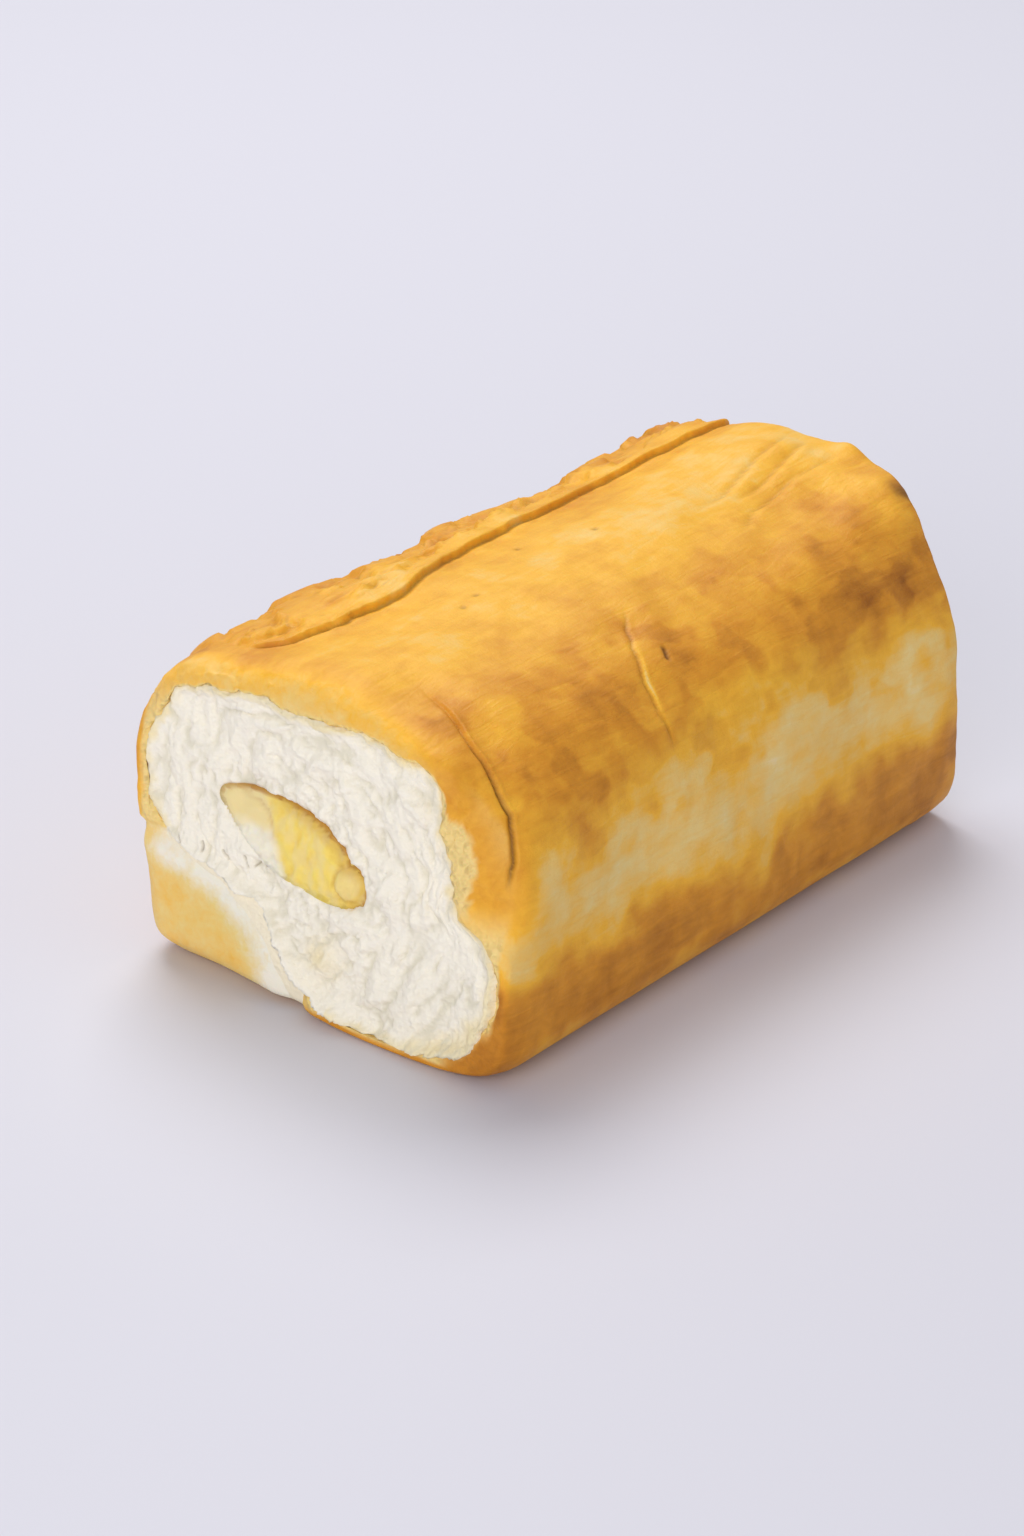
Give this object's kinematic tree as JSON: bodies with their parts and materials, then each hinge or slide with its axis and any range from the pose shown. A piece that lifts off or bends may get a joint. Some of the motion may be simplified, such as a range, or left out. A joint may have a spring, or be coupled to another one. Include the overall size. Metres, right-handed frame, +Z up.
{
  "type": "meringue roll cake",
  "caption": "Whole meringue roll with a browned outer sheet, soft white meringue and a custard curl, resting on its flat underside.",
  "frame": {"origin": "middle of the flat underside", "axes": "+Y along the roll away from the shown cut end, +X across it, +Z up"},
  "size_m": [0.1186, 0.2004, 0.089],
  "materials": {
    "browned_sheet": null,
    "white_meringue": null,
    "custard": null
  },
  "bodies": {
    "root": {"golden_sheet": "browned_sheet", "meringue": "white_meringue", "custard": "custard"}
  },
  "joints": []
}
